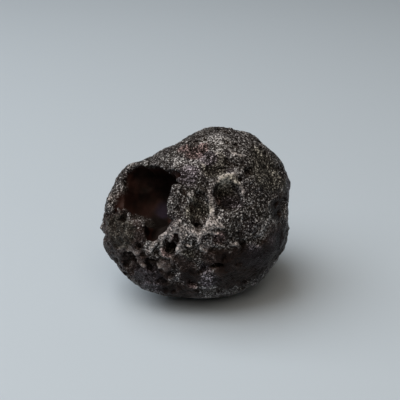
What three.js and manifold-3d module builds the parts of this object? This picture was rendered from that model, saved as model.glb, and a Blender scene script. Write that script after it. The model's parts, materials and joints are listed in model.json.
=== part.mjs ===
// A tektite: one piece of black natural glass, thrown molten from a meteorite impact and etched by
// the ground since. It is a rounded lump with a lower lobe on its left, and a burst gas bubble has
// left a deep hollow in that lobe. Smaller bubbles and etching have left pits and troughs all round.
//
// Millimetres, +Z up, front towards -Y. The origin is on the surface that the stone rests on, below
// the middle of its box. Places on the stone are given from its heart, a point inside it: a bearing
// turns round the vertical, 0 to the front and 90 to the right, and a rise is the angle above level.
import * as THREE from "three";
import { mergeVertices } from "three/addons/utils/BufferGeometryUtils.js";
import Module from "manifold-3d";

const HEART_HEIGHT = 13.6; // the heart above the rest face
const REACH = 24; // a radius outside the whole stone
const SWELL_LENGTH = 1.7; // the skin's gentle swells repeat every 2 pi times this
const SWELL_HEIGHT = 0.16;
const SKIN_DETAIL = 14; // subdivisions of the icosphere that the skin is drawn on
const LEAST_RINGS = 4; // rings of faces on the smallest hollow
const RINGS_PER_MM = 1.3; // and how many more for each millimetre of its largest radius
const SAME_POINT = 1e-4; // points closer than this are one

// The masses that the stone is made of: centres from the heart, radii along X, Y and Z, and how wide
// the fillet is where a mass runs into those above it in the list.
const MASSES = [
  { name: "body", at: [2.0, 0.4, 0.0], radii: [13.9, 13.0, 14.2], melt: 1 },
  { name: "shoulder", at: [6.2, 2.0, 5.2], radii: [9.0, 8.5, 8.6], melt: 3 },
  { name: "crown", at: [3.2, 4.5, 9.4], radii: [4.8, 5.0, 5.0], melt: 2 },
  { name: "lobe", at: [-6.0, -1.6, -0.2], radii: [9.2, 9.4, 9.2], melt: 2 },
  { name: "keel", at: [-4.0, -4.0, -4.8], radii: [7.4, 6.4, 6.4], melt: 3 },
  { name: "brow", at: [-9.8, 1.3, 6.8], radii: [2.8, 2.8, 2.8], melt: 2 },
  { name: "cheek", at: [-11.4, -0.6, 2.6], radii: [2.8, 4.4, 3.6], melt: 1.5 },
  { name: "upper_lip", at: [-13.8, -2.2, 0.0], radii: [2.1, 3.2, 1.3], melt: 0.6 },
  { name: "lower_lip", at: [-12.3, -3.4, -3.3], radii: [2.6, 3.2, 2.0], melt: 0.8 },
  { name: "back_boss", at: [6.5, 8.4, -3.4], radii: [6.4, 5.4, 6.2], melt: 2 },
  { name: "back_heel", at: [-4.0, 7.0, -4.2], radii: [6.0, 5.2, 5.6], melt: 2 },
];

// Broad scoops out of the masses, given in the same way. melt rounds their edges.
const SCOOPS = [{ name: "saddle", at: [-10.6, 14.8, 18.2], radii: [15.2, 15.2, 15.2], melt: 2 }];

// Hollows that gas and etching left. The surface point is where the bearing and rise leave the skin.
// radii are across, up and inwards, sink is how far the hollow's centre lies below that point, and
// spin turns it about the way in.
const HOLLOWS = [
  { name: "bubble", bearing: -56, rise: 36.5, radii: [5.1, 5.3, 6.2], sink: 2.6, spin: 0 },
  { name: "bubble_corner", bearing: -78, rise: 40, radii: [3.0, 2.9, 4.2], sink: 2.0, spin: 0 },
  { name: "bubble_top", bearing: -44, rise: 51, radii: [4.6, 2.2, 3.2], sink: 1.2, spin: -8 },
  { name: "bubble_foot", bearing: -29.5, rise: 24, radii: [2.2, 4.3, 3.2], sink: 1.0, spin: -16 },
  { name: "front_pit", bearing: 31, rise: 39.5, radii: [2.2, 2.7, 2.5], sink: 0.4, spin: 0 },
  { name: "trough", bearing: 4.5, rise: 32, radii: [1.6, 3.1, 1.6], sink: 0.3, spin: 0 },
  { name: "trough_hole", bearing: 3.5, rise: 20, radii: [0.8, 0.9, 1.6], sink: 0.3, spin: 0 },
  { name: "ridge_hole_high", bearing: -12, rise: 12, radii: [0.5, 1.0, 1.2], sink: 0.1, spin: -10 },
  { name: "ridge_hole_low", bearing: -18, rise: 1.5, radii: [0.7, 0.9, 1.2], sink: 0.1, spin: 20 },
  { name: "belly_pit", bearing: 18, rise: -8.5, radii: [1.1, 0.7, 1.1], sink: 0.1, spin: 0 },
  { name: "keel_pit", bearing: -32, rise: -12, radii: [0.8, 1.2, 1.1], sink: 0.1, spin: 30 },
  { name: "lobe_dish", bearing: -46, rise: -12, radii: [1.8, 2.2, 1.0], sink: -0.2, spin: 40 },
  { name: "lip_notch", bearing: -78, rise: -3.5, radii: [3.8, 0.8, 2.0], sink: 0.1, spin: 0 },
  { name: "shoulder_pit", bearing: 55, rise: 46, radii: [1.0, 0.6, 0.9], sink: 0.1, spin: -15 },
  { name: "shoulder_dip", bearing: 50, rise: 55, radii: [0.9, 1.2, 0.8], sink: 0, spin: 10 },
  { name: "right_dent", bearing: 75, rise: 14, radii: [1.6, 2.2, 0.9], sink: -0.1, spin: 0 },
  { name: "right_pit", bearing: 108, rise: 22, radii: [2.0, 1.6, 1.5], sink: 0, spin: 25 },
  { name: "right_trough", bearing: 100, rise: -14, radii: [1.3, 3.2, 1.2], sink: 0, spin: 55 },
  { name: "back_bubble", bearing: 162, rise: 26, radii: [3.1, 2.7, 2.6], sink: 0.2, spin: 20 },
  { name: "back_dish", bearing: 196, rise: 4, radii: [3.4, 2.6, 1.4], sink: -0.2, spin: -30 },
  { name: "back_trough", bearing: 138, rise: 2, radii: [1.2, 3.6, 1.2], sink: 0, spin: -35 },
  { name: "back_pit", bearing: 172, rise: -20, radii: [1.4, 1.1, 1.4], sink: 0, spin: 0 },
  { name: "left_pit", bearing: -104, rise: 8, radii: [1.7, 1.4, 1.5], sink: 0.1, spin: 0 },
  { name: "left_trough", bearing: -118, rise: -14, radii: [1.1, 2.8, 1.1], sink: 0, spin: 60 },
  { name: "saddle_pit", bearing: -138, rise: 30, radii: [1.5, 1.9, 1.4], sink: 0, spin: 30 },
  { name: "crown_dish", bearing: 120, rise: 68, radii: [2.2, 1.7, 1.0], sink: -0.1, spin: 0 },
];

const GLASS = { color: 0x35312f, roughness: 0.7, metalness: 0 }; // etched dull, with soil in its pits
const DEGREE = Math.PI / 180;
const UP = new THREE.Vector3(0, 0, 1);

// Smooth minimum of two distances, which melts two masses together over the width k.
function melt(a, b, k) {
  const overlap = Math.max(k - Math.abs(a - b), 0);
  return Math.min(a, b) - overlap ** 2 / (4 * k);
}

// Roughly the distance from a point to an ellipsoid's surface, negative inside.
function ellipsoidDistance(point, at, radii) {
  const [x, y, z] = [0, 1, 2].map((i) => point.getComponent(i) - at[i]);
  const near = Math.hypot(x / radii[0], y / radii[1], z / radii[2]);
  const slope = Math.hypot(x / radii[0] ** 2, y / radii[1] ** 2, z / radii[2] ** 2);
  return (near * (near - 1)) / Math.max(slope, Number.EPSILON);
}

// Gentle swells in every direction, so that no stretch of skin is a true ellipsoid.
function swell(point) {
  const [x, y, z] = point.toArray().map((length) => length / SWELL_LENGTH);
  const waves = Math.sin(x) * Math.cos(y) + Math.sin(y) * Math.cos(z) + Math.sin(z) * Math.cos(x);
  return SWELL_HEIGHT * waves;
}

// Distance from a point, measured from the heart, to the skin.
function skinDistance(point) {
  const to = (shape) => ellipsoidDistance(point, shape.at, shape.radii);
  const solid = MASSES.reduce((d, mass) => melt(d, to(mass), mass.melt), REACH);
  const scooped = SCOOPS.reduce((d, scoop) => -melt(-d, to(scoop), scoop.melt), solid);
  return scooped - swell(point);
}

// The skin point in a direction from the heart, found by halving.
function skinPoint(direction) {
  const point = new THREE.Vector3();
  let [inside, outside] = [0, REACH];
  while (outside - inside > SAME_POINT) {
    const middle = (inside + outside) / 2;
    point.copy(direction).multiplyScalar(middle);
    if (skinDistance(point) < 0) inside = middle;
    else outside = middle;
  }
  return point;
}

function directionOf(bearing, rise) {
  const [b, r] = [bearing * DEGREE, rise * DEGREE];
  return new THREE.Vector3(Math.sin(b) * Math.cos(r), -Math.cos(b) * Math.cos(r), Math.sin(r));
}

// The lump before anything is taken out of it.
function lumpGeometry() {
  const geometry = bare(new THREE.IcosahedronGeometry(1, SKIN_DETAIL));
  const positions = geometry.getAttribute("position");
  const direction = new THREE.Vector3();
  for (let i = 0; i < positions.count; i++) {
    direction.fromBufferAttribute(positions, i).normalize();
    positions.setXYZ(i, ...skinPoint(direction).toArray());
  }
  return geometry;
}

// An ellipsoid let into the skin at a bearing and rise, its third radius pointing in.
function hollowGeometry({ bearing, rise, radii, sink, spin }) {
  const way = directionOf(bearing, rise);
  const centre = skinPoint(way).addScaledVector(way, -sink);
  const frame = new THREE.Matrix4().lookAt(way, new THREE.Vector3(), UP);
  const rings = Math.round(LEAST_RINGS + RINGS_PER_MM * Math.max(...radii));
  return bare(new THREE.SphereGeometry(1, 2 * rings, rings))
    .scale(...radii)
    .rotateZ(spin * DEGREE)
    .applyMatrix4(frame)
    .translate(...centre.toArray());
}

// Geometry with positions only, and its seams merged, as a solid needs.
function bare(geometry) {
  geometry.deleteAttribute("normal");
  geometry.deleteAttribute("uv");
  return mergeVertices(geometry, SAME_POINT);
}

const wasm = await Module();
wasm.setup();

function toSolid(geometry) {
  return new wasm.Manifold(
    new wasm.Mesh({
      numProp: 3,
      vertProperties: geometry.getAttribute("position").array,
      triVerts: new Uint32Array(geometry.index.array),
    }),
  );
}

function toGeometry(solid) {
  const mesh = solid.getMesh();
  const geometry = new THREE.BufferGeometry();
  geometry.setAttribute("position", new THREE.BufferAttribute(mesh.vertProperties, 3));
  geometry.setIndex(new THREE.BufferAttribute(mesh.triVerts, 1));
  geometry.computeVertexNormals();
  return geometry;
}

// Everything below the rest face, as a slab to cut away.
function underTheRestFace() {
  const slab = bare(new THREE.BoxGeometry(2 * REACH, 2 * REACH, REACH));
  return toSolid(slab.translate(0, 0, -HEART_HEIGHT - REACH / 2));
}

// The lump less its hollows and rest face, moved so that the origin is under the middle of its box.
function stoneGeometry() {
  const cuts = [...HOLLOWS.map((hollow) => toSolid(hollowGeometry(hollow))), underTheRestFace()];
  const stone = cuts.reduce((solid, cut) => solid.subtract(cut), toSolid(lumpGeometry()));
  const geometry = toGeometry(stone);
  geometry.computeBoundingBox();
  const { min, max } = geometry.boundingBox;
  return geometry.translate(-(min.x + max.x) / 2, -(min.y + max.y) / 2, -min.z);
}

const stone = new THREE.Mesh(stoneGeometry(), new THREE.MeshStandardMaterial(GLASS));
stone.name = "tektite";

const tektite = new THREE.Group();
tektite.add(stone);

export default tektite;
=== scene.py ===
"""The looks of a tektite: a lump of black natural glass, etched dull and full of gas pits.

The stone is one mesh. Its CAD solid is turned into distances on a fine grid, which are lumped,
pitted and etched, and the skin of the result is the mesh. Lengths in that work are in millimetres,
and the mesh is in metres. Places on the stone are given from its heart, a point inside it: a
bearing turns round the vertical, 0 to the front and 90 to the right, and a rise is the angle above
level.
"""
import json
import math
from types import SimpleNamespace

import bpy
import numpy as np
import openvdb
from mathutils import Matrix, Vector


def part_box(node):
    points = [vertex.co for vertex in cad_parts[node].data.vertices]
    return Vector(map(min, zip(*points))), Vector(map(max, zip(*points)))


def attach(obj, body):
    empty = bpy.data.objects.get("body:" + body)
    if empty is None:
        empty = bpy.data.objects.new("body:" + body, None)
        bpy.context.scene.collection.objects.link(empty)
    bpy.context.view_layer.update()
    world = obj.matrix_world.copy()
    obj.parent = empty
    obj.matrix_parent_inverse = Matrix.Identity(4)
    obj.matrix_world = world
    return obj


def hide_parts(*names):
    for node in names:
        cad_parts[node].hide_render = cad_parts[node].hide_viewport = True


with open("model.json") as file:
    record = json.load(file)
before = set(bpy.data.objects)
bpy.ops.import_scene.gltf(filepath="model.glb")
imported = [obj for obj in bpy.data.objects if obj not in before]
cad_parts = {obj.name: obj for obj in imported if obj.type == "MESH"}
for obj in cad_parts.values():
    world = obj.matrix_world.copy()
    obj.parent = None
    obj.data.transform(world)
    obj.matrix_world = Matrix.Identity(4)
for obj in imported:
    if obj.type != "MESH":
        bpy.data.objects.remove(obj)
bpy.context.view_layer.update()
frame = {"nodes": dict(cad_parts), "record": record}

MM = 0.001  # metres in a millimetre
STONE = "tektite"
LOW, HIGH = (np.array(corner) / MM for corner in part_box(STONE))
HEART = np.array([-0.20, -0.73, 13.6])
REACH = 24.0  # further than any of the skin is from the heart
LEVEL_AXES = np.eye(3)

GRID = 0.12  # spacing of the distances
BAND = 1.6  # how far from the skin they are true
LID_GRID = 0.5
LID_BAND = 8.0
LID = 5.0  # the lid over the hollows bends into them no tighter than this radius
MOST_FACES = 196000
SKIN_LOSS = 0.26  # what the pits take off the skin on average, so it is put on first

# The big burst bubble, where the record gives its opening.
OPENING = np.array(frame["record"]["physics"]["openings"][0]["box_m"]) / MM
BUBBLE = OPENING.mean(axis=0)
BUBBLE_RADII = np.array([6.4, 6.4, 6.8])
BUBBLE_CALM = 0.8  # how much weaker bumps and ridges are in it

# Bumps of the skin before and after the pits: how far apart, how high, and the seed.
SWELLS = ((3.4, 0.22, 1), (1.7, 0.15, 2))
BUMPS = ((0.9, 0.07, 3), (0.45, 0.05, 4))

# Nets of ridges: how far apart, how high, how wide in shares of the distance apart, and the seed.
RIDGES = ((1.9, 0.14, 0.35, 6), (1.0, 0.08, 0.4, 7))

# Noise that frays the edges of the zones: how far apart its lumps are, how strong, and the seed.
FRAYS = ((3.0, 0.6, 21), (1.2, 0.4, 22))
FAR = 9.0  # well outside every zone, in zone widths

# Zones of the skin, in spots of (bearing, rise, half-width) in degrees. First where pits crowd and
# where there are few, and then what the material goes by.
SPONGY = (
    (-45, -8, 20), (-60, 0, 14), (-22, -18, 14), (-30, -30, 14), (150, -30, 22), (-150, 30, 16),
)
PLAIN = (
    (62, 35, 24), (75, 60, 16), (40, 68, 10), (55, -15, 18), (85, 5, 26), (18, 15, 8), (-18, 14, 14),
    (-110, 30, 20),
)
ZONES = {
    "soft": ((-52, 8, 15), (-62, -6, 15), (-35, -22, 16), (-6, -12, 12), (15, -4, 12), (170, 10, 20)),
    # Calm: few etched pits. The material makes it darker, partly for its smooth, less frosted glass and
    # partly as painted shade on the stone's lower, shaded side.
    "calm": (
        (45, -14, 17), (62, -14, 18), (35, -26, 12), (21, -3, 8), (32, -3, 10), (22, -14, 8), (52, -2, 7),
        (-2, -20, 9), (70, 18, 7), (-12, -40, 12), (-118, -14, 18),
    ),
    # This zone is paler: partly frosted glass and partly a painted highlight where the light falls most.
    "frost": (
        (0, 64, 8), (33, 51, 5), (53, 9, 7), (16, 25, 7), (-30, 66, 5), (60, 76, 9), (-49, 19, 3),
    ),
    "soil": (
        (-13, 21, 5), (-20, 17, 5), (-26, 12, 5), (-9, 15, 4), (-11, 5, 4), (14, 33, 3), (15, 24, 6),
        (4, 18, 4), (-21, -10, 6), (33, 51, 3), (-72, 26, 8), (-76, 36, 6), (-47, -2, 4), (140, 12, 12),
    ),
    "rust": (
        (0, 75, 6), (28, 78, 4), (-40, 78, 5), (24, 38, 4), (-13.5, 11, 3), (-20, 0, 5), (18, 12, 6),
        (-2, -27, 5),
    ),
    "olive": (
        (34, 45, 7), (3, 34, 9), (-3, -2, 6), (30, 62, 9), (75, 40, 12), (-55, 8, 10), (-140, 10, 14),
    ),
    "violet": (
        (35, 35, 6), (25, 68, 6), (8, -13, 6), (58, -12, 12), (10, -20, 8), (42, -4, 9), (-8, 56, 8),
        (-35, -28, 10), (100, 20, 12),
    ),
}

# Thin walls left standing between the pits: half their width, and (bearing, rise) places along them.
WALLS = (
    (0.18, ((15, 41), (14, 36), (13.5, 31), (13, 27), (12.5, 22))),
    (0.24, ((14, 24), (17, 21), (21, 20))),
    (0.13, ((0, 17.5), (10, 17), (20, 16))),
    (0.18, ((12, 21), (8, 19), (3, 18), (-2, 18), (-7, 21))),
    (0.26, ((-12, 24), (-20, 16), (-25, 11), (-30, 4))),
    (0.18, ((-30, 4), (-33, 0), (-36, -6), (-40, -10))),
    (0.28, ((-8, 20), (-9, 15), (-9, 10), (-11, 5))),
    (0.22, ((-11, 5), (-15, -4), (-20, -10), (-25, -11), (-26, -7))),
    (0.15, ((-17, 14), (-18, 9), (-15, 4))),
    (0.14, ((-24, 9), (-25, 2), (-23, -4))),
    (0.15, ((-5, 8), (-1, 5), (3, 2))),
    (0.12, ((4, 15), (5, 6), (9, 3), (11, 8))),
    (0.16, ((-37, -12), (-30, -12), (-25, -14), (-20, -12))),
    (0.26, ((14, 44), (21, 49), (29, 51), (36, 51), (42, 50))),
    (0.13, ((36, 48), (41, 44), (42, 38))),
    (0.18, ((-53, -3), (-49, -4), (-46, -3), (-45, 1))),
    (0.15, ((-42, -9), (-41, -4), (-38, -2))),
    (0.15, ((60, 66), (60, 60), (66, 56))),
    (0.15, ((26, 6.5), (30, 6))),
    (0.55, ((-3, 44), (0, 42), (2, 40))),
)
WALL_STEP = 0.3
WALL_FOOT = 0.2  # the width their feet are rounded over

# Lumps and shards on the bubble's rim and floor: the place, from the bubble's middle, and the radii.
LUMPS = (
    ((3.9, -3.6, 3.4), (0.8, 0.9, 0.9)),
    ((3.6, -4.0, 2.6), (0.85, 0.9, 0.9)),
    ((3.35, -4.4, 1.7), (0.85, 0.9, 0.9)),
    ((3.3, -4.7, 0.8), (0.85, 0.8, 0.9)),
    ((3.3, -5.0, -0.2), (0.85, 0.8, 0.9)),
    ((-3.5, -4.1, -1.3), (0.35, 0.4, 0.95)),
    ((-6.0, -1.9, -2.0), (0.35, 0.35, 0.35)),
)

# Hollows that widen the bubble's mouth and notch the left side, placed like the lumps.
HOLLOWS = (
    ((-8.9, 3.5, -8.3), (0.9, 2.2, 0.8)),
    ((-5.7, 0.4, 0.5), (1.35, 2.2, 3.2)),
    ((3.2, -1.5, 4.6), (1.1, 1.4, 0.9)),
)
MOUTH_EDGE = 0.4  # the width that the rims of hollows and the feet of lumps are rounded over
HOLLOW_ROUGHNESS = 0.2

# Parts of the bubble, in balls: the place, from the bubble's middle, and the radius. One part of the
# glazed wall has a painted violet reflection, the ledge has no glazing, and the painted shade, in the
# bubble's tail, beside the ledge and along the mouth's right rim, is nearly black.
VIOLET_REFLECTION_BALLS = ((1.9, 3.7, -4.4, 2.0),)
LEDGE = ((-3.8, -0.6, -4.0, 1.9), (-2.2, 0.6, -4.9, 1.9), (-0.8, 1.0, -5.3, 1.3))
SHADE = (
    (0.8, 0.5, -5.8, 2.6), (-1.2, -3.9, -2.6, 1.3), (-1.4, -3.6, -4.0, 1.2), (0.8, -2.5, -5.2, 2.0),
    (2.2, -3.0, -4.4, 1.7), (3.5, -3.6, 2.6, 1.2), (3.4, -4.2, 1.2, 1.1), (3.3, -4.6, 0.0, 1.0),
)

# Pits scattered over the skin: how many, their least and greatest radius, how deep they are in
# shares of that, the width their rims are rounded over, how rough their walls are, and the seed.
# The gas pits are all over, the sponge pits crowd in a few zones, and etching left the smallest.
GAS_PITS = (200, (0.4, 1.1), 0.5, 0.2, 0.25, 11)
SPONGE_PITS = (420, (0.35, 0.9), 0.35, 0.06, 0.2, 12)
ETCHED_PITS = (12000, (0.15, 0.3), 0.45, 0.04, 0.1, 13)
SMALL_BIAS = 1.6  # above 1, small pits outnumber great ones
CANDIDATES = 6  # places drawn for each pit, before the likelier ones are taken
ROUGH_PITCH = 0.7

# Pits placed one by one, too small for the CAD solid: (bearing, rise, (across, up, in), spin).
PITS = (
    (-21, 57, (1.0, 0.6, 1.2), 0),
    (-14, 10.5, (0.4, 1.15, 0.9), -8),
    (-20, -1, (0.75, 0.95, 0.9), 0),
    (-21.5, 7.5, (0.38, 0.65, 0.7), 10),
    (-28, 0, (0.85, 0.8, 0.5), 0),
    (-22, -7.5, (0.7, 0.4, 0.5), 0),
    (-34, -15, (1.1, 0.7, 0.6), 10),
    (0, 1, (1.0, 0.8, 0.4), 0),
    (16, 11, (1.1, 0.9, 0.35), 0),
    (4, 21, (0.6, 0.4, 0.6), 0),
    (47, 57, (0.7, 1.1, 1.0), 0),
    (57, 48, (0.9, 0.5, 0.9), -10),
    (60, 27, (0.5, 0.4, 0.6), 0),
    (44, 46, (0.4, 0.4, 0.6), 0),
    (22, 57, (1.8, 1.3, 0.6), 0),
    (77, 63, (0.6, 0.7, 0.6), 0),
    (75, 69, (0.8, 0.7, 0.7), 0),
    (15, 3, (1.0, 0.6, 0.5), 0),
    (28, 3.5, (0.8, 0.5, 0.45), 0),
    (18, -9, (1.2, 0.6, 0.5), 0),
    (6.5, -13, (0.35, 0.8, 0.7), 0),
    (-2, -27, (0.55, 0.5, 0.7), 0),
    (-39, 3, (0.55, 0.8, 0.8), 0),
    (-47, -10, (1.0, 0.8, 0.5), 0),
    (-33, 2, (0.3, 0.9, 0.6), 15),
    (-24, -27, (0.9, 0.7, 0.6), 0),
    (-62, 18, (0.5, 0.4, 0.6), 0),
    (-20, 52, (0.5, 0.6, 0.8), 0),
    (-24, 46, (0.4, 0.4, 0.6), 0),
)
PIT_EDGE = 0.2
PIT_ROUGHNESS = 0.15


# ---- The distance field -------------------------------------------------------------------------


def smooth_step(value, low, high):
    """0 at low, 1 at high, and smooth between. low may be the greater."""
    t = np.clip((value - low) / (high - low), 0, 1)
    return t * t * (3 - 2 * t)


def smooth_max(a, b, edge):
    """The greater of a and b, rounded over where they differ by less than edge."""
    overlap = np.maximum(edge - np.abs(a - b), 0)
    return np.maximum(a, b) + overlap**2 / (4 * edge)


class Field:
    """Distances to the stone's skin, negative inside, at points grid apart from the corner low."""

    def __init__(self, low, grid, distance):
        self.low = low
        self.grid = grid
        self.distance = distance

    def axis(self, k):
        """The grid's coordinates along one axis."""
        return (self.low[k] + np.arange(self.distance.shape[k]) * self.grid).astype(np.float32)

    def sample(self, values, points):
        """What values, one for each grid point, come to at any points."""
        place = (np.asarray(points) - self.low) / self.grid
        place = np.clip(place, 0, np.array(values.shape) - 1.001)
        cell = place.astype(int)
        part = place - cell
        total = 0
        for corner in np.ndindex(2, 2, 2):
            weight = np.prod(np.where(corner, part, 1 - part), axis=-1)
            total = total + weight * values[tuple(np.moveaxis(cell + corner, -1, 0))]
        return total

    def at(self, points):
        return self.sample(self.distance, points)

    def outward(self, points):
        """The way out of the stone at points near its skin."""
        steps = self.grid * np.eye(3)
        slope = np.stack([self.at(points + s) - self.at(points - s) for s in steps], axis=-1)
        return slope / np.maximum(np.linalg.norm(slope, axis=-1, keepdims=True), 1e-9)

    def place(self, bearing, rise):
        """The last point of the skin on the way out from the heart."""
        lengths = np.arange(REACH, 0, -self.grid / 2)
        points = HEART + lengths[:, None] * way_of(bearing, rise)
        return points[np.argmax(self.at(points) < 0)]

    def blurred(self, step, times):
        """A copy on every step-th grid point, blurred that many times."""
        distance = self.distance[::step, ::step, ::step].copy()
        for _ in range(times):
            for k in range(3):
                rows = np.moveaxis(distance, k, 0)
                rows[1:-1] = (rows[:-2] + 2 * rows[1:-1] + rows[2:]) / 4
        return Field(self.low, step * self.grid, distance)

    def around(self, centre, axes, radii):
        """The block of the grid near an ellipsoid, and how far inside it each of its points is."""
        reach = max(radii) + 3 * self.grid
        start = np.maximum(np.floor((centre - reach - self.low) / self.grid), 0).astype(int)
        stop = np.ceil((centre + reach - self.low) / self.grid).astype(int)
        block = tuple(slice(a, b) for a, b in zip(start, np.maximum(stop, start)))
        x, y, z = (self.axis(k)[block[k]] - centre[k] for k in range(3))
        squares = 0
        for axis, radius in zip(axes, radii):
            a, b, c = axis / radius
            squares = squares + ((a * x)[:, None, None] + (b * y)[:, None] + c * z) ** 2
        return block, (1 - np.sqrt(squares)) * min(radii)

    def dig(self, centre, axes, radii, edge, rough):
        """Takes an ellipsoid out of the stone. Its rim is rounded over the width edge. rough, one
        length for each grid point, moves its wall.
        """
        block, inside = self.around(centre, axes, radii)
        self.distance[block] = smooth_max(self.distance[block], inside + rough[block], edge)

    def heap(self, centre, axes, radii, edge):
        """Adds an ellipsoid to the stone. Its foot is rounded over the width edge."""
        block, inside = self.around(centre, axes, radii)
        self.distance[block] = -smooth_max(-self.distance[block], inside, edge)

    def skin(self, level=0.0):
        """The points and the four-cornered faces where the distance is level."""
        volume = openvdb.FloatGrid(float(self.distance.max()))
        volume.transform = openvdb.createLinearTransform(voxelSize=self.grid)
        volume.copyFromArray(self.distance)
        points, quads = volume.convertToQuads(level)
        return points + self.low, quads


def field_of(points, grid, band, **faces):
    """The distances to a closed mesh, true as far as band from it."""
    transform = openvdb.createLinearTransform(voxelSize=grid)
    level_set = openvdb.FloatGrid.createLevelSetFromPolygons(
        points.astype(np.float32), transform=transform, halfWidth=band / grid, **faces
    )
    first, last = level_set.evalActiveVoxelBoundingBox()
    distance = np.zeros(np.subtract(last, first) + 1, np.float32)
    level_set.copyToArray(distance, ijk=first)
    return Field(np.array(first) * grid, grid, distance)


def lid_over(points, triangles):
    """A field whose skin bridges the stone's hollows, as a ball of radius LID would roll over."""
    stone = field_of(points, LID_GRID, LID_BAND, triangles=triangles)
    points, quads = stone.skin(LID)
    lid = field_of(points, LID_GRID, LID_BAND, quads=quads)
    lid.distance += LID
    return lid


def spline_weights(count, spacing):
    """Rows of weights that draw a smooth curve through values. spacing is between two of the count
    places on the curve, in steps from one value to the next.
    """
    place = np.arange(count) * spacing
    cell = place.astype(int)
    t = place - cell
    weights = np.zeros((count, cell[-1] + 4), np.float32)
    basis = ((1 - t) ** 3, 3 * t**3 - 6 * t**2 + 4, 1 + 3 * t + 3 * t**2 - 3 * t**3, t**3)
    for offset, share in enumerate(basis):
        weights[np.arange(count), cell + offset] = share / 6
    return weights


def cloud(shape, pitch, seed):
    """Smooth noise on the grid, mostly between -1 and 1, whose lumps are about pitch across."""
    x, y, z = (spline_weights(count, GRID / pitch) for count in shape)
    random = np.random.default_rng(seed)
    values = random.uniform(-3, 3, (x.shape[1], y.shape[1], z.shape[1])).astype(np.float32)
    return np.tensordot(x, y @ (values @ z.T), 1)


def way_of(bearing, rise):
    """The unit vector that way."""
    turn, lift = math.radians(bearing), math.radians(rise)
    return np.array([math.sin(turn) * math.cos(lift), -math.cos(turn) * math.cos(lift), math.sin(lift)])


def axes_facing(ways, spins):
    """For each way, rows across, up and out, turned about the way out by its spin in degrees."""
    across = np.cross((0.0, 0.0, 1.0), ways)
    across /= np.maximum(np.linalg.norm(across, axis=1, keepdims=True), 1e-9)
    up = np.cross(ways, across)
    turn = np.radians(spins)[:, None]
    turned_across = np.cos(turn) * across + np.sin(turn) * up
    turned_up = np.cos(turn) * up - np.sin(turn) * across
    return np.stack([turned_across, turned_up, ways], axis=1)


# ---- The stone's shape --------------------------------------------------------------------------


def cad_mesh(node):
    """The CAD node's points and triangles."""
    mesh = node.data
    corners = np.empty(3 * len(mesh.polygons), np.int32)
    mesh.polygons.foreach_get("vertices", corners)
    return places_of(mesh), corners.reshape(-1, 3).astype(np.uint32)


def places_of(mesh):
    """The mesh's points in millimetres."""
    points = np.empty(3 * len(mesh.vertices), np.float32)
    mesh.vertices.foreach_get("co", points)
    return points.reshape(-1, 3) / MM


class Zones:
    """How far any points of the skin are in each kind of zone, from 0 to 1."""

    def __init__(self, field, lid):
        self.field = field
        self.lid = lid
        shape = field.distance.shape
        self.frays = [(strength, cloud(shape, pitch, seed)) for pitch, strength, seed in FRAYS]

    def frayed(self, points):
        """Noise that the zones' edges follow."""
        return sum(strength * self.field.sample(fray, points) for strength, fray in self.frays)

    def within(self, points, nearest):
        """1 where nearest is well below 1, and 0 where it is well above, with a frayed edge."""
        return smooth_step(nearest + 0.5 * self.frayed(points), 1.25, 0.75)

    def spots(self, points, spots):
        """How far in the zone that these spots make up."""
        ways = points - HEART
        ways = ways / np.linalg.norm(ways, axis=-1, keepdims=True)
        nearest = np.full(len(points), FAR)
        for bearing, rise, width in spots:
            angle = np.degrees(np.arccos(np.clip(ways @ way_of(bearing, rise), -1, 1)))
            nearest = np.minimum(nearest, angle / width)
        return self.within(points, nearest)

    def depth(self, points):
        """How far below the lid that covers the hollows."""
        return -self.lid.at(points)

    def balls(self, points, balls):
        """Like spots, for balls placed from the bubble's middle."""
        nearest = np.full(len(points), FAR)
        for *place, radius in balls:
            nearest = np.minimum(nearest, np.linalg.norm(points - BUBBLE - place, axis=-1) / radius)
        return self.within(points, nearest)

    def bubble(self, points):
        """The bubble's glazed wall."""
        near = np.linalg.norm((points - BUBBLE) / BUBBLE_RADII, axis=-1)
        deep = self.depth(points) + 0.6 * self.frayed(points)
        return smooth_step(near, 1.3, 1.1) * smooth_step(deep, 0.3, 1.5) * (1 - self.balls(points, LEDGE))

    def open_skin(self, points):
        """How likely gas pits are."""
        return (1 - self.bubble(points)) * (1 - 0.85 * self.spots(points, PLAIN))

    def spongy(self, points):
        """How likely sponge pits are."""
        return 0.001 + self.spots(points, SPONGY) * (1 - self.bubble(points))

    def etched(self, points):
        """How likely etched pits are."""
        smooth = 0.6 * self.spots(points, ZONES["calm"]) + 0.35 * self.spots(points, ZONES["soil"])
        return (1 - self.bubble(points)) * np.maximum(1 - smooth, 0)


def bubble_space(field):
    """1 in the bubble's own space and 0 well outside it, on the grid."""
    x, y, z = (((field.axis(k) - BUBBLE[k]) / BUBBLE_RADII[k]) ** 2 for k in range(3))
    return smooth_step(np.sqrt(x[:, None, None] + y[:, None] + z), 1.15, 0.9)


def lump(field, lumps):
    """Bumps of several sizes, weaker in the bubble."""
    shape = field.distance.shape
    height = sum(height * cloud(shape, pitch, seed) for pitch, height, seed in lumps)
    field.distance += height * (1 - BUBBLE_CALM * bubble_space(field))


def raise_ridges(field):
    """Nets of ridges, weaker in the bubble. Returns how near each grid point is to one, up to 1."""
    shape = field.distance.shape
    nearest = np.ones(shape, np.float32)
    for pitch, height, width, seed in RIDGES:
        away = np.minimum(np.abs(cloud(shape, pitch, seed)) / width, 1)
        field.distance += height * away * (1 - BUBBLE_CALM * bubble_space(field))
        nearest = np.minimum(nearest, away)
    return 1 - nearest


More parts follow.
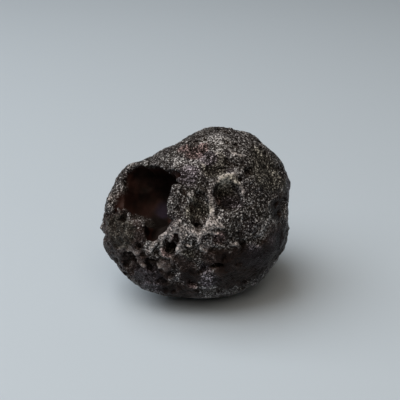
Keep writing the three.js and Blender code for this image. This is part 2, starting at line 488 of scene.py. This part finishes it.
def raise_walls(field, seed):
    """Heaps the thin walls up, and returns the points along them."""
    random = np.random.default_rng(seed)
    made = []
    for width, places in WALLS:
        for start, end in zip(places, places[1:]):
            length = np.linalg.norm(field.place(*end) - field.place(*start))
            shares = np.arange(0, 1, WALL_STEP / length)
            made += [(width, np.array(start) * (1 - t) + np.array(end) * t) for t in shares]
    points = np.array([field.place(*place) for _, place in made])
    widths = np.array([width for width, _ in made]) * random.uniform(0.7, 1.2, len(made))
    frames = axes_facing(field.outward(points), random.uniform(0, 180, len(made)))
    for point, axes, width in zip(points, frames, widths):
        field.heap(point, axes, (width, 1.3 * width, 1.1 * width), WALL_FOOT)
    return points


def shape_mouth(field, rough):
    """Digs the hollows, and heaps up the lumps on the bubble's rim and floor."""
    rough = HOLLOW_ROUGHNESS * rough
    for place, radii in HOLLOWS:
        field.dig(BUBBLE + place, LEVEL_AXES, radii, MOUTH_EDGE, rough)
    for place, radii in LUMPS:
        field.heap(BUBBLE + place, LEVEL_AXES, radii, MOUTH_EDGE)


def dig_pits(field, rough):
    """Digs the pits placed one by one."""
    rough = PIT_ROUGHNESS * rough
    for bearing, rise, radii, spin in PITS:
        axes = axes_facing(way_of(bearing, rise)[None], [spin])[0]
        field.dig(field.place(bearing, rise), axes, radii, PIT_EDGE, rough)


def scatter_pits(field, rough, likely, pits):
    """Digs one of the sets of scattered pits. likely says how likely a pit is at each point."""
    count, (small, large), depth, edge, roughness, seed = pits
    rough = roughness * rough
    random = np.random.default_rng(seed)
    points, _ = field.skin()
    points = points[random.choice(len(points), CANDIDATES * count)]
    chance = likely(points)
    points = points[random.choice(len(points), count, p=chance / chance.sum())]
    ways = field.outward(points)
    radii = small * (large / small) ** (random.uniform(0, 1, count) ** SMALL_BIAS)
    stretches = random.uniform(0.75, 1.3, count)
    depths = depth * random.uniform(0.7, 1.3, count)
    centres = points + ways * (radii * (1 - depths))[:, None]
    frames = axes_facing(ways, random.uniform(0, 180, count))
    for centre, axes, radius, stretch in zip(centres, frames, radii, stretches):
        field.dig(centre, axes, (radius * stretch, radius / stretch, radius), edge, rough)


def largest_piece(points, quads):
    """The largest connected piece of the skin, without crumbs or sealed bubbles."""
    label = np.arange(len(points))
    while True:
        lowest = label.copy()
        np.minimum.at(lowest, quads.ravel(), np.repeat(label[quads].min(axis=1), 4))
        lowest = lowest[lowest]
        if np.array_equal(lowest, label):
            break
        label = lowest
    quads = quads[label[quads[:, 0]] == np.argmax(np.bincount(label))]
    used, quads = np.unique(quads, return_inverse=True)
    return points[used], quads.reshape(-1, 4)


def mesh_of(points, quads):
    """A mesh of triangles. The faces are turned over, because the skin's face inwards."""
    triangles = np.concatenate([quads[:, [2, 1, 0]], quads[:, [3, 2, 0]]])
    mesh = bpy.data.meshes.new("tektite_full")
    mesh.vertices.add(len(points))
    mesh.vertices.foreach_set("co", (points * MM).astype(np.float32).ravel())
    mesh.loops.add(triangles.size)
    mesh.loops.foreach_set("vertex_index", triangles.astype(np.int32).ravel())
    mesh.polygons.add(len(triangles))
    mesh.polygons.foreach_set("loop_start", np.arange(0, triangles.size, 3, dtype=np.int32))
    mesh.update(calc_edges=True)
    mesh.validate()
    return mesh


def thin_out(stone):
    """Leaves the object fewer triangles, most of them where it bends most."""
    full = stone.data
    thin = stone.modifiers.new("thin", "DECIMATE")
    thin.ratio = min(1.0, MOST_FACES / len(full.polygons))
    evaluated = stone.evaluated_get(bpy.context.evaluated_depsgraph_get())
    stone.data = bpy.data.meshes.new_from_object(evaluated)
    stone.data.name = "tektite_stone"
    stone.modifiers.clear()
    bpy.data.meshes.remove(full)


def paint(mesh, name, values):
    """Gives each point of the mesh its value under that name."""
    layer = mesh.attributes.new(name, "FLOAT", "POINT")
    layer.data.foreach_set("value", values.astype(np.float32))


LEAST_BROW = -0.25  # the painted shade in pits gets no darker for lying deeper than this


def paint_stone(mesh, field, zones, walls, ridges):
    """Gives each point of the mesh what the material goes by. On a blurred copy of the field, a
    point on a crest or a brow lies outside the stone, and a point in a pit lies inside it.
    """
    places = places_of(mesh)
    paint(mesh, "crest", field.blurred(2, 2).at(places))
    paint(mesh, "brow", np.maximum(field.blurred(4, 4).at(places), LEAST_BROW))
    paint(mesh, "depth", zones.depth(places))
    paint(mesh, "bubble", zones.bubble(places))
    for name, spots in ZONES.items():
        paint(mesh, name, zones.spots(places, spots))
    # A painted violet reflection on one patch of the bubble's wall.
    paint(mesh, "glaze", zones.balls(places, VIOLET_REFLECTION_BALLS))
    # Painted shade, nearly black, in the bubble's tail, beside the ledge and along the mouth's right rim.
    paint(mesh, "shade", zones.balls(places, SHADE))
    paint(mesh, "ridge", field.sample(ridges, places))
    nearest = np.full(len(places), REACH)
    for wall in walls:
        nearest = np.minimum(nearest, np.linalg.norm(places - wall, axis=1))
    paint(mesh, "wall", (smooth_step(nearest, 1.1, 0.3) + smooth_step(nearest, 0.45, 0.15)) / 2)


def make_stone(node):
    """The stone as one mesh, made from its CAD node."""
    points, triangles = cad_mesh(node)
    field = field_of(points, GRID, BAND, triangles=triangles).blurred(1, 3)
    field.distance -= SKIN_LOSS
    zones = Zones(field, lid_over(points, triangles))
    lump(field, SWELLS)
    ridges = raise_ridges(field)
    rough = cloud(field.distance.shape, ROUGH_PITCH, seed=5)
    scatter_pits(field, rough, zones.open_skin, GAS_PITS)
    scatter_pits(field, rough, zones.spongy, SPONGE_PITS)
    shape_mouth(field, rough)
    walls = raise_walls(field, seed=10)
    dig_pits(field, rough)
    lump(field, BUMPS)
    scatter_pits(field, rough, zones.etched, ETCHED_PITS)
    field.distance = np.maximum(field.distance, -field.axis(2))

    stone = bpy.data.objects.new("tektite_stone", mesh_of(*largest_piece(*field.skin())))
    bpy.context.scene.collection.objects.link(stone)
    thin_out(stone)
    stone.data.shade_smooth()
    paint_stone(stone.data, field, zones, walls, ridges)
    return stone


# ---- Material -----------------------------------------------------------------------------------

# What paint_stone gives each point of the mesh.
PAINTED = ("crest", "brow", "depth", "bubble", "glaze", "shade", "wall", "ridge", *ZONES)

DARKEST = -4.15  # the logarithm of the plain dark glass between the marks
PALEST = 0.75
PLAIN_CONTRAST = 0.95  # how strong the marks are where no zone says otherwise
BARE = -0.45  # what a place has to outweigh before soil shows on it

# Sizes of the material's noises: the finest grain, then patches of brightness, hue, the bubble's glazed
# wall and soil.
FUZZ = 0.12
GRIT = 0.17
BLOTCHES = 0.9
PATCHES = 2.5
HUE_PATCHES = 1.6
GLAZE_PATCHES = 1.8
SOIL_PATCHES = 0.5

# Marks of the etching, pale threads and grains that are partly painted glints: how far apart and how
# wide they are. Hairs have gaps, and they and the first specks are bent by noise of that size and
# strength.
HAIRS = ((0.75, 0.14), (0.4, 0.11))
HAIR_GAPS = 0.35
BENT_SPECKS = (0.27, 0.17)
SPECKS = ((0.42, 0.22), (0.2, 0.15))
BEND = (0.3, 0.5)

CUPS = 0.4  # how far apart the etching's tiny cups are
CUP_DEPTH = 0.08
GRAIN_HEIGHT = 0.05

GLOSS = 0.1
GLOSS_TINT = (1.0, 0.76, 0.68)
DARK_ROUGHNESS = 0.35
PALE_ROUGHNESS = 0.5
GLAZE_ROUGHNESS = 0.55

# Hues of the etched skin, and colours of the bubble's glazed wall, with its painted shade and
# painted violet reflection, as shares of red, green and blue.
ROSE = (0.98, 0.83, 0.87)
TAN = (0.98, 0.87, 0.83)
SAND = (1.0, 0.88, 0.76)
BROWN = (1.0, 0.68, 0.60)
AMBER = (1.0, 0.76, 0.62)
WHITE = (0.955, 0.94, 0.935)
CREAM = (1.0, 0.915, 0.88)
OLIVE = (1.0, 0.94, 0.77)
VIOLET = (0.97, 0.85, 0.97)
RUST = (1.0, 0.64, 0.62)
GLAZE_IN_PAINTED_SHADE = (0.0045, 0.0032, 0.0026)
WINE_GLAZE = (0.030, 0.013, 0.010)
VIOLET_REFLECTION_COLOUR = (0.014, 0.010, 0.020)


class Tree:
    """Short calls that add nodes to a material. Lengths in its patterns are in millimetres. A value
    is a number, a tuple or a node's output.
    """

    def __init__(self, name):
        self.material = bpy.data.materials.new(name)
        self.material.use_nodes = True
        self.nodes = self.material.node_tree.nodes
        self.shader = self.nodes["Principled BSDF"]
        coordinates = self.nodes.new("ShaderNodeTexCoord").outputs["Object"]
        self.place = self.add("ShaderNodeVectorMath", {0: coordinates, "Scale": 1 / MM}, operation="SCALE")

    def set(self, socket, value):
        """Links the value to the socket, or sets it there."""
        if isinstance(value, bpy.types.NodeSocket):
            self.material.node_tree.links.new(value, socket)
        elif isinstance(value, tuple) and len(socket.default_value) == 4:
            socket.default_value = (*value, 1)
        else:
            socket.default_value = value

    def add(self, kind, inputs, output=0, **settings):
        """Adds a node with those inputs and settings, and returns its output."""
        node = self.nodes.new(kind)
        for name, value in settings.items():
            setattr(node, name, value)
        for name, value in inputs.items():
            self.set(node.inputs[name], value)
        return node.outputs[output]

    def math(self, operation, a, b=0.0):
        """The operation done on a and b, or on a alone."""
        return self.add("ShaderNodeMath", {0: a, 1: b}, operation=operation)

    def total(self, *parts):
        """The sum of pairs of a value and its weight."""
        total = 0.0
        for value, weight in parts:
            total = self.add("ShaderNodeMath", {0: value, 1: weight, 2: total}, operation="MULTIPLY_ADD")
        return total

    def ramp(self, value, low, high, to_low=0.0, to_high=1.0):
        """to_low at low, to_high at high, and smooth between."""
        inputs = {"Value": value, "From Min": low, "From Max": high, "To Min": to_low, "To Max": to_high}
        return self.add("ShaderNodeMapRange", inputs, interpolation_type="SMOOTHSTEP")

    def mix(self, share, a, b):
        """Colour a where share is 0, and colour b where it is 1."""
        return self.add("ShaderNodeMix", {0: share, 6: a, 7: b}, output=2, data_type="RGBA")

    def painted(self, name):
        """What paint_stone gave the skin under that name."""
        return self.add("ShaderNodeAttribute", {}, output="Fac", attribute_name=name)

    def noise(self, size, detail=1.0, shift=(0.0, 0.0, 0.0)):
        """Noise from -1 to 1, mostly within half of that, whose lumps are about size across. shift
        takes it from elsewhere, so that two noises don't go together.
        """
        place = self.add("ShaderNodeVectorMath", {0: self.place, 1: shift}, operation="ADD")
        inputs = {"Vector": place, "Scale": 0.5 / size, "Detail": detail}
        value = self.add("ShaderNodeTexNoise", inputs)
        return self.total((value, 2.0), (-1.0, 1.0))

    def warped(self, size, strength):
        """The place, pushed about by noise as far as half of strength."""
        inputs = {"Vector": self.place, "Scale": 0.5 / size, "Detail": 1.0}
        push = self.add("ShaderNodeTexNoise", inputs, output="Color")
        push = self.add("ShaderNodeVectorMath", {0: push, "Scale": strength}, operation="SCALE")
        return self.add("ShaderNodeVectorMath", {0: self.place, 1: push}, operation="ADD")

    def edge(self, place, size):
        """How far it is to the nearest edge between cells about size across."""
        inputs = {"Vector": place, "Scale": 1 / size}
        return self.add("ShaderNodeTexVoronoi", inputs, output="Distance", feature="DISTANCE_TO_EDGE")

    def hairs(self, place, size, width, gate):
        """Fine crooked lines, width across, along some of the edges of cells about size across."""
        line = self.ramp(self.edge(place, size), 0.5 * width / size, 0.0)
        return self.math("MULTIPLY", line, gate)

    def dots(self, place, size, width):
        """Dots of all strengths from 0 to 1, few of them strong, one to each cell about size across."""
        distance = self.add("ShaderNodeTexVoronoi", {"Vector": place, "Scale": 1 / size}, output="Distance")
        strength = self.add("ShaderNodeSeparateColor", {0: distance.node.outputs["Color"]})
        dot = self.ramp(distance, 0.6 * width / size, 0.1 * width / size)
        return self.math("MULTIPLY", dot, self.math("POWER", strength, 2.5))


def fine_marks(tree, place):
    """Crooked hairs and bright specks, from 0 to 1, on the etched skin: partly pale frosted grains, and
    partly painted glints on its tiny crests.
    """
    gate = tree.ramp(tree.noise(HAIR_GAPS, shift=(1.0, 2.0, 3.0)), -0.1, 0.35)
    hairs = tree.math("MAXIMUM", *(tree.hairs(place, size, width, gate) for size, width in HAIRS))
    specks = tree.dots(place, *BENT_SPECKS)
    for size, width in SPECKS:
        specks = tree.math("MAXIMUM", specks, tree.dots(tree.place, size, width))
    return hairs, specks


def brightness(tree, skin, marks, hollow, grime):
    """How much light the etched skin sends back. It is a sum of weighted parts as a logarithm, so
    each part makes the skin brighter or darker by a share.
    """
    # Crests, hairs and specks are brighter: partly frosted, dusty glass and partly painted glints on the
    # tiny crests.
    fine = tree.total((skin.crest, 1.5), *marks)
    contrast = tree.total(
        (skin.soft, -0.35),
        (skin.calm, -0.65),
        (hollow, -0.2),
        (skin.frost, 0.1),
        (grime, -0.35),
        (PLAIN_CONTRAST, 1.0),
    )
    light = tree.total(
        (tree.math("MULTIPLY", fine, contrast), 1.0),
        # Brows and ridges are brighter and pits darker: partly frosted, dusty crests, partly painted
        # highlight on the brows and ridges and painted shade in the pits.
        (skin.brow, 1.1),
        (skin.ridge, 0.7),
        (hollow, 0.2),
        (tree.noise(BLOTCHES, detail=3.0, shift=(5.0, 1.0, 9.0)), 1.2),
        (tree.noise(PATCHES, detail=2.0), 0.8),
        # The calm zone is darker, partly for its smoother glass and partly as painted shade on the stone's
        # lower, shaded side.
        (skin.calm, -0.7),
        (skin.soft, -0.15),
        # This zone is paler: partly frosted glass and partly a painted highlight where the light falls
        # most.
        (skin.frost, 0.9),
        (skin.rust, 0.3),
        # Painted shade: nearly black in the bubble's tail, beside the ledge and along the mouth's right
        # rim.
        (skin.shade, -1.3),
        (grime, 1.7),
        (DARKEST, 1.0),
    )
    return tree.math("MINIMUM", tree.math("EXPONENT", light), PALEST)


def hue(tree, skin, bright, hollow, grime):
    """The etched skin's hue: warm where it is dark, nearly white where it is pale, as the painted glints
    are, and in patches.
    """
    change = tree.noise(HUE_PATCHES, detail=2.0, shift=(2.0, 4.0, 8.0))
    tint = tree.mix(tree.ramp(change, -0.3, 0.0), ROSE, TAN)
    tint = tree.mix(tree.ramp(change, 0.05, 0.35), tint, SAND)
    tint = tree.mix(tree.math("MAXIMUM", skin.calm, skin.soft), tint, BROWN)
    tint = tree.mix(tree.math("MULTIPLY", hollow, 0.6), tint, AMBER)
    tint = tree.mix(tree.ramp(bright, 0.0, 0.22, 0.0, 0.9), tint, tree.mix(grime, WHITE, CREAM))
    tint = tree.mix(tree.math("MULTIPLY", skin.olive, 0.7), tint, OLIVE)
    tint = tree.mix(tree.math("MULTIPLY", skin.violet, 0.8), tint, VIOLET)
    return tree.mix(tree.math("MULTIPLY", skin.rust, 0.7), tint, RUST)


def bubble_colour(tree, skin):
    """The bubble's glazed wall: wine-dark, with painted shade that makes it nearly black where it is deep,
    and a painted violet reflection in one patch.
    """
    change = tree.noise(GLAZE_PATCHES, detail=2.0, shift=(7.0, 3.0, 5.0))
    # Painted shade: the glazed wall darkens the deeper it lies in the bubble, and more in the shade balls.
    clear = tree.total((skin.depth, -0.22), (change, 1.2), (skin.shade, -1.0), (1.0, 1.0))
    wine = tree.mix(tree.ramp(clear, 0.0, 1.0), GLAZE_IN_PAINTED_SHADE, WINE_GLAZE)
    # A painted violet reflection on one patch of the bubble's wall.
    return tree.mix(skin.glaze, wine, VIOLET_REFLECTION_COLOUR)


def soiled(tree, skin):
    """How thick pale soil lies, from 0 to 1."""
    change = tree.noise(SOIL_PATCHES, detail=3.0)
    grime = tree.total((skin.wall, 1.3), (skin.soil, 1.0), (skin.brow, 0.8), (change, 1.2), (BARE, 1.0))
    return tree.ramp(grime, 0.0, 1.0)


def add_gloss(tree, skin, bright):
    """A weak, warm gloss, sharpest where the skin is dark."""
    rough = tree.ramp(bright, 0.0, 0.2, DARK_ROUGHNESS, PALE_ROUGHNESS)
    rough = tree.add("ShaderNodeMix", {0: skin.bubble, 2: rough, 3: GLAZE_ROUGHNESS}, data_type="FLOAT")
    tree.set(tree.shader.inputs["Roughness"], rough)
    tree.set(tree.shader.inputs["Specular IOR Level"], GLOSS)
    tree.set(tree.shader.inputs["Specular Tint"], GLOSS_TINT)


def add_grain(tree, skin, heights):
    """Fine bumps, nearly flat in the bubble. heights are pairs of a pattern and its height."""
    strength = tree.ramp(skin.bubble, 0.0, 1.0, 1.0, 0.15)
    bump = {"Height": tree.total(*heights), "Distance": MM, "Strength": strength}
    tree.set(tree.shader.inputs["Normal"], tree.add("ShaderNodeBump", bump))


def glass_material():
    """Black glass, etched to a grey frosting that is palest on its crests, partly as painted highlight,
    with painted shade in its pits and soil in one part.
    """
    tree = Tree("tektite_glass")
    skin = SimpleNamespace(**{name: tree.painted(name) for name in PAINTED})
    place = tree.warped(*BEND)
    hairs, specks = fine_marks(tree, place)
    fuzz = tree.noise(FUZZ, detail=2.0)
    grit = tree.noise(GRIT, shift=(3.1, 7.7, 1.3))
    cups = tree.ramp(tree.edge(place, CUPS), 0.3, 0.0)
    hollow = tree.ramp(tree.total((skin.brow, 1.0), (skin.depth, -0.12)), 0.0, -0.35)
    grime = soiled(tree, skin)

    marks = ((fuzz, 5.5), (grit, 3.4), (hairs, 1.9), (specks, 5.2))
    bright = brightness(tree, skin, marks, hollow, grime)
    tint = hue(tree, skin, bright, hollow, grime)
    skin_colour = tree.add("ShaderNodeVectorMath", {0: tint, "Scale": bright}, operation="SCALE")
    tree.set(tree.shader.inputs["Base Color"], tree.mix(skin.bubble, skin_colour, bubble_colour(tree, skin)))
    add_gloss(tree, skin, bright)
    grain = ((pattern, GRAIN_HEIGHT) for pattern in (specks, fuzz, grit))
    add_grain(tree, skin, ((cups, CUP_DEPTH), *grain))
    return tree.material


stone = make_stone(frame["nodes"][STONE])
stone.data.materials.append(glass_material())
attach(stone, "root")
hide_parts(STONE)


# ---- Floor, light and camera --------------------------------------------------------------------

scene = bpy.context.scene
scene.view_settings.view_transform = "Standard"

middle = Vector(((LOW + HIGH) / 2 * MM).tolist())
CAMERA_TARGET = Vector((0.78, 0.0, 16.5)) * MM


def lay_floor(reach, colour, roughness):
    """A square of pale paper, reaching that far each way."""
    mesh = bpy.data.meshes.new("floor")
    corners = [(-reach, -reach, 0), (reach, -reach, 0), (reach, reach, 0), (-reach, reach, 0)]
    mesh.from_pydata(corners, [], [(0, 1, 2, 3)])
    floor = bpy.data.objects.new("floor", mesh)
    scene.collection.objects.link(floor)
    paper = bpy.data.materials.new("paper")
    paper.use_nodes = True
    shader = paper.node_tree.nodes["Principled BSDF"]
    shader.inputs["Base Color"].default_value = (*colour, 1)
    shader.inputs["Roughness"].default_value = roughness
    mesh.materials.append(paper)


def put_facing(thing, target, bearing, rise, distance):
    """Links the object into the scene, that far from the target and looking at it."""
    thing.location = target + Vector(way_of(bearing, rise)) * distance
    thing.rotation_euler = (target - thing.location).to_track_quat("-Z", "Y").to_euler()
    scene.collection.objects.link(thing)


def area_light(name, bearing, rise, distance, size, power, colour):
    """A square light facing the stone's middle."""
    light = bpy.data.lights.new(name, "AREA")
    light.size = size
    light.energy = power
    light.color = colour
    put_facing(bpy.data.objects.new(name, light), middle, bearing, rise, distance)


def fill_light(strength, colour):
    """Even light from all around."""
    world = bpy.data.worlds.new("room")
    world.use_nodes = True
    background = world.node_tree.nodes["Background"]
    background.inputs["Color"].default_value = (*colour, 1)
    background.inputs["Strength"].default_value = strength
    scene.world = world


def add_camera(target, rise, distance, lens, sensor, near):
    """A camera in front of the target, that sees from near on. The lens and sensor are in
    millimetres.
    """
    data = bpy.data.cameras.new("camera")
    data.lens = lens
    data.sensor_width = sensor
    data.clip_start = near
    scene.camera = bpy.data.objects.new("camera", data)
    put_facing(scene.camera, target, 0, rise, distance)


lay_floor(reach=1.5, colour=(0.60, 0.685, 0.76), roughness=0.8)
area_light("window", bearing=-85, rise=61, distance=0.5, size=0.52, power=2.3, colour=(1, 1, 1))
area_light("ceiling", bearing=0, rise=60, distance=0.45, size=0.4, power=0.67, colour=(1.0, 0.87, 0.74))
fill_light(strength=0.035, colour=(0.92, 0.80, 0.66))
add_camera(CAMERA_TARGET, rise=27, distance=0.131, lens=70, sensor=36, near=0.005)
